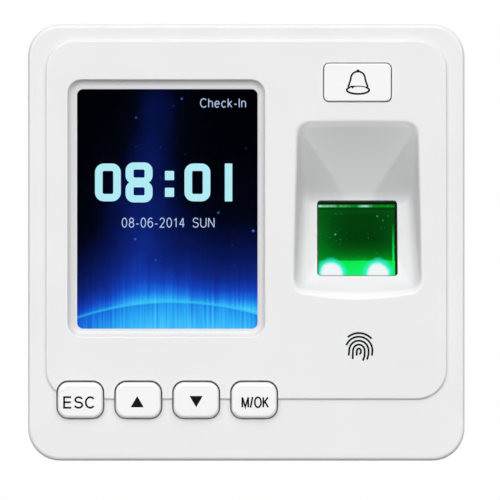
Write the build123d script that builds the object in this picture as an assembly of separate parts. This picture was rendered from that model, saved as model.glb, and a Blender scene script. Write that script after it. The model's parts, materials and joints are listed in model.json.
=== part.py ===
"""A wall-mounted fingerprint scanner terminal, as an assembly of separate pieces.

The terminal is a square white plastic box that hangs on a steel wall plate. Its front carries a
colour display, four menu keys, a bell key and a recess with an optical fingerprint sensor.

Everything is drawn lying on its back: X to the right, Y up the front face, Z out from the wall.
stand() turns each piece upright at export, so that the front faces -Y and +Z is up. The origin is
the centre of the wall plate's rear face, which is the plane of the wall.
All sizes are in millimetres.
"""

import math
import os

from build123d import *

# ---------------------------------------------------------------- driving dimensions
BODY = 94.5  # width and height of the front cover
BODY_CORNER = 7.0
DEPTH = 34.5  # wall to the raised front face
STEP = 0.6  # height of the raised face above the border ledge
WALL = 2.2  # moulded wall thickness
OUTER_ROUNDING = 0.9  # of the front cover's outer edge

FRONT_Z = DEPTH
LEDGE_Z = FRONT_Z - STEP
LEDGE_INSIDE_Z = LEDGE_Z - WALL
FACE_INSIDE_Z = FRONT_Z - WALL
PARTING_Z = 13.5  # joint between the front and rear covers
LIP = 2.0  # how far the rear cover's lip reaches into the front cover

PLATEAU_W, PLATEAU_TOP, PLATEAU_BOTTOM = 86.8, 43.85, -34.0
PLATEAU_H = PLATEAU_TOP - PLATEAU_BOTTOM
PLATEAU_Y = (PLATEAU_TOP + PLATEAU_BOTTOM) / 2
PLATEAU_CORNER = 6.5

# display
SCREEN_X, SCREEN_Y = -17.1, 7.25
FRAME_X, FRAME_Y = -17.3, 7.4
FRAME_W, FRAME_H, FRAME_CORNER = 42.6, 55.5, 3.0  # rim of the dished frame
WINDOW_W, WINDOW_H, WINDOW_CORNER = 39.1, 51.9, 1.3  # clear opening
FRAME_DEPTH = 1.4
LIP_THICKNESS = 0.7  # plastic left in front of the lens
LENS_T = 1.0
LENS_W, LENS_H = WINDOW_W + 2.4, WINDOW_H + 2.4
LENS_FRONT_Z = FRONT_Z - FRAME_DEPTH - LIP_THICKNESS
LENS_BACK_Z = LENS_FRONT_Z - LENS_T
GASKET_T = 0.5
LCD_W, LCD_H, LCD_T = 44.5, 62.5, 3.0
LCD_FRONT_Z = LENS_BACK_Z - GASKET_T
LCD_BACK_Z = LCD_FRONT_Z - LCD_T
LCD_Y = SCREEN_Y + WINDOW_H / 2 + 2.4 - LCD_H / 2  # the ledge with the ribbon is at its bottom
GLASS_T = 1.6
RIBBON_X, RIBBON_W, RIBBON_T = SCREEN_X, 16.0, 0.2
RIBBON_END_Y = -24.2  # where the display's flat cable enters its connector

# keys
KEY_GAP = 0.3
KEY_DROP = 0.1  # the menu keys hang a little low in their holes
MENU_HOLE_W, MENU_HOLE_H, MENU_CORNER = 10.4, 8.4, 2.6
MENU_PITCH, MENU_FIRST_X, MENU_Y = 12.53, -35.9, -34.05
MENU_KEYS = ("esc", "up", "down", "ok")
BELL_HOLE_W, BELL_HOLE_H, BELL_CORNER = 14.9, 8.6, 1.3
BELL_X, BELL_Y = 24.05, 34.6
BELL_GAP = 0.2
KEY_FRONT_Z = FRONT_Z + 0.7
BELL_FRONT_Z = FRONT_Z + 0.4
FLANGE_T, FLANGE_MARGIN, FLANGE_CLEARANCE = 0.8, 0.6, 0.2
KEY_STEM_R = 2.2

# finger recess and optical sensor
RECESS_X = 24.1
RECESS_TOP, RECESS_BOTTOM = 26.4, -12.2
RECESS_HALF_TOP, RECESS_HALF_BOTTOM = 13.2, 13.7
RECESS_HEAD_SLOPE, RECESS_HEAD_CURVE = 0.62, 0.0056  # the upper wall flattens a little inwards
RECESS_FOOT_SLOPE = 0.63
RECESS_DRAFT, RECESS_BLEND = 10.0, 0.5
RECESS_TOP_CORNER = 2.6
RECESS_STATIONS = (
    -14.5, -12.5, -10.5, -8.8, -7.0, -3.0, 2.0, 6.5, 8.6, 10.2, 12.0, 16.0, 20.0, 22.8, 24.2, 25.2, 25.9, 26.5,
    27.5, 29.0
)
RECESS_WALL = 2.0
RIM_ROUNDING = 0.9
SENSOR_TILT = 20.0
SENSOR_Y, SENSOR_DEPTH = 0.9, 5.9
SENSOR_WINDOW = 17.45
SENSOR_PLACE = Pos(RECESS_X, SENSOR_Y, FRONT_Z - SENSOR_DEPTH) * Rot(-SENSOR_TILT, 0, 0)

# optical sensor, measured from the middle of the recess's sloping floor
PRISM_GAP = 0.3
PRISM_SIDE = SENSOR_WINDOW - 2 * PRISM_GAP
PRISM_DEEP = -9.4
OPTICS_Y = -2.6  # the lens and the camera chip sit a little below the prism's middle
SENSOR_SCREWS = ((-6.5, 13.6), (6.5, 13.6), (-6.5, -13.6), (6.5, -13.6))
EAR_BACK, EAR_FRONT = -7.0, -5.0  # the carrier's ears, which bear on the front cover's bosses
BOSS_TOP_BELOW, BOSS_TOP_ABOVE = -0.7, 2.2  # inside the recess's wall below and above the sensor
CAMERA_SCREWS = ((-8.6, -8.6), (8.6, 8.6))
CAMERA_BOARD_BACK, CAMERA_BOARD_FRONT = -18.6, -17.4
LAMP_XS = (-5.4, 4.6)

# circuit boards
BOARD_T = 1.6
KEY_BOARD_FRONT_Z = 25.9
KEY_BOARD_BACK_Z = KEY_BOARD_FRONT_Z - BOARD_T
MAIN_BOARD_BACK_Z = 16.0
MAIN_BOARD_FRONT_Z = MAIN_BOARD_BACK_Z + BOARD_T
BOARD_LEFT, BOARD_RIGHT, BOARD_HALF_H = -44.0, 8.6, 43.8
KEY_BOARD_SCREWS = ((-41.8, 27.0), (-41.8, -24.0), (-4.0, 41.0), (10.8, -40.0))
MAIN_BOARD_SCREWS = ((-40.5, 29.0), (-40.5, -30.0), (4.0, 31.0), (4.0, -31.0))
PROCESSOR = (-16.0, 16.0, 14.0, 14.0, 1.2)  # x, y, width, height and thickness
MEMORIES = ((-16.0, -4.0, 9.0, 12.0, 1.0), (-2.0, 12.0, 8.0, 10.0, 1.0))
CAPACITOR_PLACES = ((-36.0, -18.0), (-28.0, -18.0), (-30.0, -27.0))
HEADERS = ((3.4, -9.6, 8), (3.4, 10.2, 5))  # x, y and number of ways
JACK_X, JACK_W, JACK_LOW, JACK_TOP, JACK_DEEP_Z = -14.0, 16.0, -1.0, 19.6, 2.7
CELL_X, CELL_Y, CELL_R = -6.0, -26.0, 6.25
USB_X, USB_Z = -10.0, 19.1
SPEAKER_X, SPEAKER_Z, SPEAKER_W, SPEAKER_H, SPEAKER_T = 26.0, 23.0, 20.0, 11.0, 4.0

# tactile switches
SWITCH_SIDE, SWITCH_BODY_T, PLUNGER_R = 6.0, 3.4, 1.7
PLUNGER_TIP_Z = 30.0
SWITCH_FRONT_Z = KEY_BOARD_FRONT_Z + SWITCH_BODY_T

# rear cover, wall plate and their fasteners
REAR_SIDE, REAR_CORNER = BODY - 1.4, 6.3
REAR_Z = 2.0
BAY = (-24.0, 8.0, -20.0, 20.0)  # cable bay: left, right, bottom, top
PLATE_T = 1.2
PLATE_SIDE, PLATE_CUT = 80.0, 8.0
PLATE_OPENING = (-24.0, 16.0, -20.0, 20.0)
CORNER_HOLE_SPACING, CORNER_HOLE_R = 64.0, 2.25
BOX_SLOT_SPACING, BOX_SLOT_R, BOX_SLOT_LENGTH = 60.3, 2.1, 9.0
HOOK_X, HOOK_TOPS, HOOK_W, HOOK_LIP = 31.0, (24.0, -8.0), 8.0, 4.0
LIFT = 6.0  # how far the terminal slides up to come off the hooks
CORNER_POST, CORNER_POST_R = 41.2, 2.5  # the posts of the four cover screws
SECURITY_R, SECURITY_Z = 1.5, 7.0  # the screw through the wall plate's foot
TAMPER_X, TAMPER_Y = -16.0, -33.0
CORNERS = ((-1, -1), (-1, 1), (1, -1), (1, 1))


# ---------------------------------------------------------------- small helpers
def stand(shape):
    """Turns a piece from lying on its back to upright, front towards -Y."""
    return Rot(90, 0, 0) * shape


def block(x0, x1, y0, y1, z0, z1):
    centre = ((x0 + x1) / 2, (y0 + y1) / 2, (z0 + z1) / 2)
    return Pos(*centre) * Box(abs(x1 - x0), abs(y1 - y0), abs(z1 - z0))


def slab(outline, z_low, z_high):
    return extrude(Pos(0, 0, z_low) * outline, z_high - z_low)


def rounded(width, height, radius, x=0.0, y=0.0):
    return Pos(x, y) * RectangleRounded(width, height, radius)


def post(x, y, radius, z_low, z_high):
    return Pos(x, y, (z_low + z_high) / 2) * Cylinder(radius, z_high - z_low)


def rod_y(x, z, radius, y_low, y_high):
    """A round bar along Y."""
    return Pos(x, (y_low + y_high) / 2, z) * Rot(90, 0, 0) * Cylinder(radius, y_high - y_low)


def edges_at(shape, z, tolerance=0.01):
    """The edges that lie flat at height z."""
    found = shape.edges().filter_by_position(Axis.Z, z - tolerance, z + tolerance)
    return found.filter_by(lambda e: abs(e.bounding_box().size.Z) < tolerance)


def together(*shapes):
    """Separate solids kept in one node."""
    solids = []
    for shape in shapes:
        solids += shape.solids()
    return Compound(children=solids)


def cross_recess(radius, depth):
    """A cross-shaped driver recess, opening towards +Z at z = 0."""
    arm = Box(2 * radius, radius * 0.45, depth, align=(Align.CENTER, Align.CENTER, Align.MAX))
    return arm + Rot(0, 0, 90) * arm


def screw(head_r, head_t, shank_r, length, recess_r):
    """A pan-head screw: head above z = 0, shank below it."""
    head = Cylinder(head_r, head_t, align=(Align.CENTER, Align.CENTER, Align.MIN))
    head = fillet(edges_at(head, head_t), head_t * 0.45)
    shank = Cylinder(shank_r, length, align=(Align.CENTER, Align.CENTER, Align.MAX))
    shank = chamfer(edges_at(shank, -length), shank_r * 0.4)
    return head + shank - Pos(0, 0, head_t) * cross_recess(recess_r, head_t * 0.6)


def menu_key_places():
    return {name: MENU_FIRST_X + i * MENU_PITCH for i, name in enumerate(MENU_KEYS)}


def key_centres():
    places = {name: (x, MENU_Y) for name, x in menu_key_places().items()}
    places["bell"] = (BELL_X, BELL_Y)
    return places


# ---------------------------------------------------------------- finger recess
def smooth_step(value, start, end):
    share = min(max((value - start) / (end - start), 0.0), 1.0)
    return share * share * (3 - 2 * share)


def blended_min(a, b):
    """The smaller of two depths, rounded where they cross."""
    overlap = max(RECESS_BLEND - abs(a - b), 0.0) / RECESS_BLEND
    return min(a, b) - overlap * overlap * RECESS_BLEND / 4


def recess_depth(y):
    """Depth of the recess at height y: the foot, the sensor's slope and the upper wall."""
    foot = (y - RECESS_BOTTOM) * RECESS_FOOT_SLOPE
    slope = SENSOR_DEPTH + (y - SENSOR_Y) * math.tan(math.radians(SENSOR_TILT))
    below_rim = RECESS_TOP - y
    head = below_rim * (RECESS_HEAD_SLOPE - RECESS_HEAD_CURVE * below_rim)
    return blended_min(blended_min(foot, slope), head) if y > 0 else blended_min(foot, slope)


def corner_inset(y):
    """How far the sides draw in at height y, round the recess's upper corners."""
    radius, limit = RECESS_TOP_CORNER, 0.9
    share = max((y - RECESS_TOP + radius) / radius, 0.0)
    near = min(share, limit)
    straight_on = max(share - limit, 0.0) * limit / math.sqrt(1 - limit * limit)
    return radius * (1 - math.sqrt(1 - near * near) + straight_on)


def recess_section(y, grow):
    """The recess's cross-section at height y: a trough with rounded corners and a slight hollow."""
    top = 8.0  # how far the cut stands above the front face
    depth = recess_depth(y) + grow * 1.1
    half = RECESS_HALF_TOP + (RECESS_HALF_BOTTOM - RECESS_HALF_TOP) * (1 - smooth_step(y, -12, 26))
    half += grow - corner_inset(y)
    sag = 0.02 + 1.2 * (1 - smooth_step(y, -12.5, -8.0)) + 0.6 * smooth_step(y, 11.0, 17.0)
    sag *= 1 - smooth_step(y, 21.0, 27.0) * 0.9
    corner = 2.1 + 1.1 * (1 - smooth_step(y, -12.0, -4.0)) + grow
    spread = math.tan(math.radians(RECESS_DRAFT))
    high_left, high_right = (-half - top * spread, top), (half + top * spread, top)
    low = half - depth * spread
    low_left, low_right = (-low, sag - depth), (low, sag - depth)
    rim = Line(high_left, high_right) + Line(high_right, low_right)
    rim += ThreePointArc(low_right, (0, -depth), low_left) + Line(low_left, high_left)
    face = make_face(rim)
    face = fillet(face.vertices().sort_by(Axis.Y)[:2], corner)
    return Plane(origin=(0, y, 0), x_dir=(1, 0, 0), z_dir=(0, -1, 0)) * face


def recess_space(grow):
    """The hollow that a fingertip enters; grown, it is the outside of the recess's walls."""
    sections = [recess_section(y, grow) for y in RECESS_STATIONS]
    return Pos(RECESS_X, 0, FRONT_Z) * loft(sections)


# ---------------------------------------------------------------- covers
def front_cover():
    shell = slab(rounded(BODY, BODY, BODY_CORNER), PARTING_Z, LEDGE_Z)
    shell = fillet(edges_at(shell, LEDGE_Z), OUTER_ROUNDING)
    plateau_outline = rounded(PLATEAU_W, PLATEAU_H, PLATEAU_CORNER, y=PLATEAU_Y)
    plateau = slab(plateau_outline, LEDGE_Z - 1.0, FRONT_Z)
    plateau = fillet(edges_at(plateau, FRONT_Z), 0.5)
    cover = shell + plateau

    cavity_side = BODY - 2 * WALL
    cavity = slab(rounded(cavity_side, cavity_side, BODY_CORNER - WALL), PARTING_Z - 1, LEDGE_INSIDE_Z)
    key_zone_top = MENU_Y + MENU_HOLE_H / 2 + 1.5
    cavity += block(
        -PLATEAU_W / 2 + 1.2, PLATEAU_W / 2 - 1.2, key_zone_top, PLATEAU_TOP - 1.2, 20, FACE_INSIDE_Z
    )
    cover -= cavity
    cover += slab(rounded(47, 60, 3, SCREEN_X, SCREEN_Y), LENS_BACK_Z, FACE_INSIDE_Z)
    cover += recess_space(RECESS_WALL) & block(5, 42, -20, 32, 15, FRONT_Z - 0.6)
    cover -= SENSOR_PLACE * block(-11.2, 11.2, -11.2, 11.2, -6, -RECESS_WALL)

    frame_cut = slab(
        rounded(FRAME_W, FRAME_H, FRAME_CORNER, FRAME_X, FRAME_Y), FRONT_Z - FRAME_DEPTH, FRONT_Z + 2
    )
    frame_cut = fillet(edges_at(frame_cut, FRONT_Z - FRAME_DEPTH), FRAME_DEPTH * 0.93)
    window_cut = slab(rounded(WINDOW_W, WINDOW_H, WINDOW_CORNER, SCREEN_X, SCREEN_Y), 30, FRONT_Z)
    lens_seat = slab(
        rounded(LENS_W + 0.2, LENS_H + 0.2, 2.0, SCREEN_X, SCREEN_Y), LENS_BACK_Z - 2, LENS_FRONT_Z
    )
    cover -= frame_cut + window_cut + lens_seat

    recess = recess_space(0)
    cover -= recess
    cover = fillet(rim_edges(cover, RECESS_X, 7.0, 14.0, 20.5), RIM_ROUNDING)
    cover = fillet(rim_edges(cover, FRAME_X, FRAME_Y, FRAME_W / 2, FRAME_H / 2), 0.3)
    cover -= SENSOR_PLACE * slab(rounded(SENSOR_WINDOW, SENSOR_WINDOW, 0.8), -8, 3)

    for x in menu_key_places().values():
        cover -= slab(rounded(MENU_HOLE_W, MENU_HOLE_H, MENU_CORNER, x, MENU_Y), 25, FRONT_Z + 2)
    cover -= slab(rounded(BELL_HOLE_W, BELL_HOLE_H, BELL_CORNER, BELL_X, BELL_Y), 25, FRONT_Z + 2)

    cover += screw_posts_front() - recess
    cover += speaker_ribs()
    cover -= usb_opening() + speaker_slots()
    return cover


def rim_edges(cover, x, y, half_width, half_height):
    """The edges on the front face that lie within a rectangle about (x, y)."""
    near = edges_at(cover, FRONT_Z)
    near = near.filter_by(lambda e: abs(e.center().X - x) < half_width + 0.1)
    return near.filter_by(lambda e: abs(e.center().Y - y) < half_height + 0.1)


def screw_posts_front():
    """Posts for the cover screws and the key board, and bosses for the sensor's carrier."""
    posts = None
    for sx, sy in CORNERS:
        x, y = sx * CORNER_POST, sy * CORNER_POST
        solid = post(x, y, CORNER_POST_R, 16.0, LEDGE_INSIDE_Z + 0.5)
        reach = BODY / 2 - WALL + 0.4
        solid += block(x, sx * reach, y - 0.6, y + 0.6, 18.0, LEDGE_INSIDE_Z + 0.5)
        solid += block(x - 0.6, x + 0.6, y, sy * reach, 18.0, LEDGE_INSIDE_Z + 0.5)
        solid -= post(x, y, 1.15, 15.0, 28.0)
        posts = solid if posts is None else posts + solid
    for x, y in KEY_BOARD_SCREWS:
        roof = LEDGE_INSIDE_Z + 0.5
        posts += post(x, y, 2.2, KEY_BOARD_FRONT_Z, roof) - post(x, y, 0.85, 20, 30.0)
    for x, y in SENSOR_SCREWS:
        top = BOSS_TOP_ABOVE if y > 0 else BOSS_TOP_BELOW
        boss = post(x, y, 1.9, EAR_FRONT, top) - post(x, y, 0.75, EAR_FRONT - 1, -2.0)
        posts += SENSOR_PLACE * boss
    return posts


def usb_opening():
    """The oval port through the bottom wall, with a shallow seat for the plug's moulding."""
    port = RectangleRounded(8.6, 3.4, 1.2)
    seat = RectangleRounded(12.0, 7.0, 2.0)
    through = extrude(Rot(90, 0, 0) * port, 6, both=True)
    shallow = extrude(Rot(90, 0, 0) * seat, 0.8, both=True)
    y = -BODY / 2
    return Pos(USB_X, y, USB_Z) * (through + shallow)


def speaker_slots():
    slots = None
    for i in range(6):
        x = SPEAKER_X + (i - 2.5) * 2.6
        slot = Rot(90, 0, 0) * RectangleRounded(1.2, 8.0, 0.58)
        cut = Pos(x, -BODY / 2, SPEAKER_Z) * extrude(slot, 5, both=True)
        slots = cut if slots is None else slots + cut
    return slots


def speaker_ribs():
    """Two ribs that grip the ends of the speaker."""
    ribs = None
    for sx in (-1, 1):
        x = SPEAKER_X + sx * (SPEAKER_W / 2 + 0.7)
        low, high = SPEAKER_Z - SPEAKER_H / 2, LEDGE_INSIDE_Z + 0.5
        rib = block(x - 0.6, x + 0.6, -BODY / 2 + 1, -BODY / 2 + WALL + SPEAKER_T + 0.6, low, high)
        ribs = rib if ribs is None else ribs + rib
    return ribs


def rear_cover():
    outer = slab(rounded(REAR_SIDE, REAR_SIDE, REAR_CORNER), REAR_Z, PARTING_Z)
    outer = fillet(edges_at(outer, REAR_Z), 1.8)
    inner_side = REAR_SIDE - 2 * WALL
    cover = outer - slab(rounded(inner_side, inner_side, REAR_CORNER - WALL), REAR_Z + WALL, PARTING_Z + 1)

    lip_side = BODY - 2 * WALL - 0.3
    lip = slab(rounded(lip_side, lip_side, 4.6), PARTING_Z - 1.2, PARTING_Z + LIP)
    lip -= slab(rounded(lip_side - 2.4, lip_side - 2.4, 3.6), PARTING_Z - 2, PARTING_Z + LIP + 1)
    cover += lip

    inside = slab(rounded(lip_side, lip_side, 4.6), REAR_Z, 16.0)
    for sx, sy in CORNERS:
        x, y = sx * CORNER_POST, sy * CORNER_POST
        cover += post(x, y, CORNER_POST_R + 0.6, REAR_Z + 1, 15.9) & inside
        cover -= post(x, y, 1.3, REAR_Z - 1, 17.0) + post(x, y, 2.3, REAR_Z - 1, 6.0)
    for x, y in MAIN_BOARD_SCREWS:
        cover += post(x, y, 2.6, REAR_Z + 1, MAIN_BOARD_BACK_Z) - post(x, y, 1.0, 7.0, 17.0)

    left, right, bottom, top = BAY
    cover += block(left - 1.6, right + 1.6, bottom - 1.6, top + 1.6, REAR_Z + 1, MAIN_BOARD_BACK_Z - 0.4)
    cover -= block(left, right, bottom, top, REAR_Z - 1, MAIN_BOARD_BACK_Z + 1)

    for hook_top in HOOK_TOPS:
        for sx in (-1, 1):
            x = sx * HOOK_X
            low = hook_top - LIFT - PLATE_T - 0.6
            cover -= block(x - HOOK_W / 2 - 0.5, x + HOOK_W / 2 + 0.5, low, hook_top, 0, REAR_Z + WALL + 0.5)

    notch_floor = -43.5
    cover -= block(-8, 8, -50, notch_floor, 0, 12.0)
    pocket = block(-10, 10, -46.2, notch_floor + 2, REAR_Z + 1.2, 13.4)
    pocket -= block(-8, 8, -50, notch_floor, 0, 12.0)
    cover += pocket
    cover += rod_y(0, SECURITY_Z, 3.4, notch_floor + 0.5, -35.0)
    cover -= rod_y(0, SECURITY_Z, SECURITY_R + 0.08, -46, -34)

    cover -= post(TAMPER_X, TAMPER_Y, 2.2, 0, 8)
    sleeve = post(TAMPER_X, TAMPER_Y, 3.4, REAR_Z + 1, 9.0) - post(TAMPER_X, TAMPER_Y, 2.0, 0, 10)
    cover += sleeve
    return cover


def wall_plate():
    half = PLATE_SIDE / 2
    outline = Polyline(
        (-half + PLATE_CUT, -half), (half - PLATE_CUT, -half), (half, -half + PLATE_CUT),
        (half, half - PLATE_CUT), (half - PLATE_CUT, half), (-half + PLATE_CUT, half),
        (-half, half - PLATE_CUT), (-half, -half + PLATE_CUT), close=True,
    )
    face = make_face(outline)
    face = fillet(face.vertices(), 2.5)
    plate = slab(face, 0, PLATE_T)

    tab_half, tab_y, tab_reach = 5.0, -44.9, 11.0
    plate += block(-tab_half, tab_half, tab_y, -half + 1, 0, PLATE_T)
    plate += block(-tab_half, tab_half, tab_y, tab_y + PLATE_T, 0, tab_reach)
    plate -= rod_y(0, SECURITY_Z, SECURITY_R + 0.15, -46, -43)

    left, right, bottom, top = PLATE_OPENING
    centre_x, centre_y = (left + right) / 2, (bottom + top) / 2
    plate -= slab(rounded(right - left, top - bottom, 3.0, centre_x, centre_y), -1, 2)
    for sx, sy in CORNERS:
        half_spacing = CORNER_HOLE_SPACING / 2
        plate -= post(sx * half_spacing, sy * half_spacing, CORNER_HOLE_R, -1, 2)
    for sy in (-1, 1):
        slot = Rot(0, 0, 90) * SlotOverall(BOX_SLOT_LENGTH, 2 * BOX_SLOT_R)
        plate -= slab(Pos(0, sy * BOX_SLOT_SPACING / 2) * slot, -1, 2)

    lip_z = REAR_Z + WALL + 0.2
    for hook_top in HOOK_TOPS:
        for sx in (-1, 1):
            x0, x1 = sx * HOOK_X - HOOK_W / 2, sx * HOOK_X + HOOK_W / 2
            window_low = hook_top - PLATE_T - 8.0
            plate -= block(x0 - 0.5, x1 + 0.5, window_low, hook_top - PLATE_T, -1, 2)
            plate += block(x0, x1, hook_top - PLATE_T, hook_top - 0.05, 0, lip_z + PLATE_T)
            plate += block(x0, x1, hook_top - PLATE_T, hook_top + HOOK_LIP, lip_z, lip_z + PLATE_T)
    return plate


def cover_screws():
    """Four screws that go in from the back and hold the rear cover to the front cover."""
    one = screw(2.1, 1.6, 1.1, 16.0, 1.2)
    screws = []
    for sx, sy in CORNERS:
        screws.append(Pos(sx * CORNER_POST, sy * CORNER_POST, 6.0) * Rot(180, 0, 0) * one)
    return together(*screws)


def security_screw():
    """The screw under the terminal that stops it from being lifted off the hooks."""
    one = screw(2.7, 1.5, SECURITY_R, 8.4, 1.4)
    return Pos(0, -44.9, SECURITY_Z) * Rot(90, 0, 0) * one


# ---------------------------------------------------------------- display
def screen_lens():
    lens = slab(rounded(LENS_W, LENS_H, 1.9, SCREEN_X, SCREEN_Y), LENS_BACK_Z, LENS_FRONT_Z)
    return chamfer(edges_at(lens, LENS_FRONT_Z), 0.12)


def lens_gasket():
    ring = slab(rounded(LENS_W + 2.6, LENS_H + 2.6, 2.5, SCREEN_X, SCREEN_Y), LCD_FRONT_Z, LENS_BACK_Z)
    return ring - slab(rounded(WINDOW_W + 1.0, WINDOW_H + 1.0, 1.3, SCREEN_X, SCREEN_Y), 28, 34)


def lcd_panel():
    z_back = LCD_FRONT_Z - GLASS_T
    return slab(rounded(LCD_W - 1.4, LCD_H - 1.4, 0.4, SCREEN_X, LCD_Y), z_back, LCD_FRONT_Z)


def lcd_frame():
    tray = slab(rounded(LCD_W, LCD_H, 0.8, SCREEN_X, LCD_Y), LCD_BACK_Z, LCD_FRONT_Z)
    seat = rounded(LCD_W - 1.2, LCD_H - 1.2, 0.5, SCREEN_X, LCD_Y)
    tray -= slab(seat, LCD_FRONT_Z - GLASS_T, LCD_FRONT_Z + 1)
    bottom, half = LCD_Y - LCD_H / 2, RIBBON_W / 2 + 0.5
    tray -= block(RIBBON_X - half, RIBBON_X + half, bottom - 1, bottom + 1, 28.6, 32)
    return tray


def lcd_tray():
    """The moulded spacer that holds the display module off the key board."""
    tray = slab(rounded(LCD_W, LCD_H - 6, 1.0, SCREEN_X, LCD_Y + 3), KEY_BOARD_FRONT_Z, LCD_BACK_Z)
    for sx in (-1, 1):
        for sy in (-1, 0, 1):
            x, y = SCREEN_X + sx * 10.4, LCD_Y + 3 + sy * 18.0
            tray -= slab(rounded(17.5, 15.0, 1.5, x, y), 20, 30)
    return tray


def lcd_ribbon():
    """The display's flat cable: out of the glass ledge, round, and back to its connector."""
    start_y, turn_y = LCD_Y - LCD_H / 2 + 0.6, LCD_Y - LCD_H / 2 - 0.9
    top_z, low_z = LCD_FRONT_Z - GLASS_T + 0.3, KEY_BOARD_FRONT_Z + 0.55
    middle_z, radius = (top_z + low_z) / 2, (top_z - low_z) / 2
    line = Line((start_y, top_z), (turn_y, top_z))
    line += ThreePointArc((turn_y, top_z), (turn_y - radius, middle_z), (turn_y, low_z))
    line += Line((turn_y, low_z), (RIBBON_END_Y, low_z))
    section = make_face(offset(line, RIBBON_T / 2, kind=Kind.TANGENT))
    upright = Plane(origin=(RIBBON_X - RIBBON_W / 2, 0, 0), x_dir=(0, 1, 0), z_dir=(1, 0, 0))
    return extrude(upright * section, RIBBON_W)


def lcd_connector():
    """The connector on the key board that grips the display's flat cable."""
    z = KEY_BOARD_FRONT_Z
    half = RIBBON_W / 2 + 1.2
    body = block(RIBBON_X - half, RIBBON_X + half, RIBBON_END_Y + 0.2, RIBBON_END_Y + 3.2, z, z + 1.6)
    latch = block(RIBBON_X - half, RIBBON_X + half, RIBBON_END_Y - 0.6, RIBBON_END_Y, z + 0.7, z + 1.4)
    return together(body, latch)


# ---------------------------------------------------------------- keys and switches
def key_cap(width, height, corner, front_z, roof_z, edge):
    """A key cap centred on the Z axis: a rounded cap, a flange behind the cover and a short stem."""
    cap = slab(RectangleRounded(width, height, corner), roof_z - FLANGE_CLEARANCE - FLANGE_T, front_z)
    cap = fillet(edges_at(cap, front_z), edge)
    flange_top = roof_z - FLANGE_CLEARANCE
    margin = 2 * (KEY_GAP + FLANGE_MARGIN)
    outline = RectangleRounded(width + margin, height + margin, corner + margin / 2)
    flange = slab(outline, flange_top - FLANGE_T, flange_top)
    stem = post(0, 0, KEY_STEM_R, PLUNGER_TIP_Z, flange_top - FLANGE_T + 0.1)
    return cap + flange + stem


def menu_key(x):
    width, height = MENU_HOLE_W - 2 * KEY_GAP, MENU_HOLE_H - 2 * KEY_GAP
    cap = key_cap(width, height, MENU_CORNER - KEY_GAP, KEY_FRONT_Z, LEDGE_INSIDE_Z, 0.8)
    return Pos(x, MENU_Y - KEY_DROP) * cap


def bell_key():
    width, height = BELL_HOLE_W - 2 * BELL_GAP, BELL_HOLE_H - 2 * BELL_GAP
    cap = key_cap(width, height, BELL_CORNER - BELL_GAP, BELL_FRONT_Z, FACE_INSIDE_Z, 0.35)
    return Pos(BELL_X, BELL_Y) * cap


def switch_body(x, y):
    """A tactile switch: black case, four solder legs and the steel front plate with its hole."""
    half, z = SWITCH_SIDE / 2, KEY_BOARD_FRONT_Z
    case = slab(rounded(SWITCH_SIDE, SWITCH_SIDE, 0.4), z, SWITCH_FRONT_Z - 0.3)
    case -= post(0, 0, PLUNGER_R + 0.15, z + 1.0, SWITCH_FRONT_Z + 1)
    plate = slab(rounded(SWITCH_SIDE - 0.2, SWITCH_SIDE - 0.2, 0.3), SWITCH_FRONT_Z - 0.3, SWITCH_FRONT_Z)
    plate -= post(0, 0, PLUNGER_R + 0.1, z, SWITCH_FRONT_Z + 1)
    legs = []
    for sx, sy in CORNERS:
        low_x = sx * half if sx > 0 else -half - 0.5
        legs.append(block(low_x, low_x + 0.5, sy * 2.25 - 0.35, sy * 2.25 + 0.35, z, z + 1.6))
    return Pos(x, y) * together(case, plate, *legs)


def switch_plunger(x, y):
    z = KEY_BOARD_FRONT_Z
    stem = post(0, 0, PLUNGER_R, z + 1.6, PLUNGER_TIP_Z)
    stem = chamfer(edges_at(stem, PLUNGER_TIP_Z), 0.2)
    return Pos(x, y) * stem


# ---------------------------------------------------------------- circuit boards
def board_outline(arms):
    """The boards' common outline, with the corner posts' notches and any arms to the right."""
    face = rounded(
        BOARD_RIGHT - BOARD_LEFT, 2 * BOARD_HALF_H, 1.0, (BOARD_LEFT + BOARD_RIGHT) / 2, 0
    )
    for x0, x1, y0, y1 in arms:
        face += Pos((x0 + x1) / 2, (y0 + y1) / 2) * Rectangle(x1 - x0, y1 - y0)
    for sx, sy in CORNERS:
        notch = CORNER_POST - CORNER_POST_R - 0.5
        face -= Pos(sx * (notch + 5), sy * (notch + 5)) * Rectangle(10, 10)
    return face


def key_board():
    arms = ((BOARD_RIGHT - 1, 34.0, 29.6, 42.5), (BOARD_RIGHT - 1, 14.0, -BOARD_HALF_H, -18.0))
    board = slab(board_outline(arms), KEY_BOARD_BACK_Z, KEY_BOARD_FRONT_Z)
    for x, y in KEY_BOARD_SCREWS:
        board -= post(x, y, 1.1, 20, 30)
    return board


def board_screws(places, head_z, shank_length):
    """Small screws driven from the back towards the front."""
    one = screw(1.7, 1.0, 0.8, shank_length, 0.9)
    return together(*(Pos(x, y, head_z) * Rot(180, 0, 0) * one for x, y in places))


def main_board():
    board = slab(board_outline(()), MAIN_BOARD_BACK_Z, MAIN_BOARD_FRONT_Z)
    for x, y in MAIN_BOARD_SCREWS:
        board -= post(x, y, 1.15, 10, 20)
    return board


def main_board_screws():
    """Screws from the front side of the main board into the rear cover's posts."""
    one = screw(1.9, 1.0, 0.95, 6.0, 1.0)
    return together(*(Pos(x, y, MAIN_BOARD_FRONT_Z) * one for x, y in MAIN_BOARD_SCREWS))


def board_connector():
    """The plug and socket that join the two boards."""
    x, y, half_x, half_y = -36.0, 8.0, 2.5, 14.0
    middle = (MAIN_BOARD_FRONT_Z + KEY_BOARD_BACK_Z) / 2 + 1.2
    socket = block(x - half_x, x + half_x, y - half_y, y + half_y, MAIN_BOARD_FRONT_Z, middle)
    half_x, half_y = half_x - 0.3, half_y - 0.3
    plug = block(x - half_x, x + half_x, y - half_y, y + half_y, middle, KEY_BOARD_BACK_Z)
    return together(socket, plug)


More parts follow.
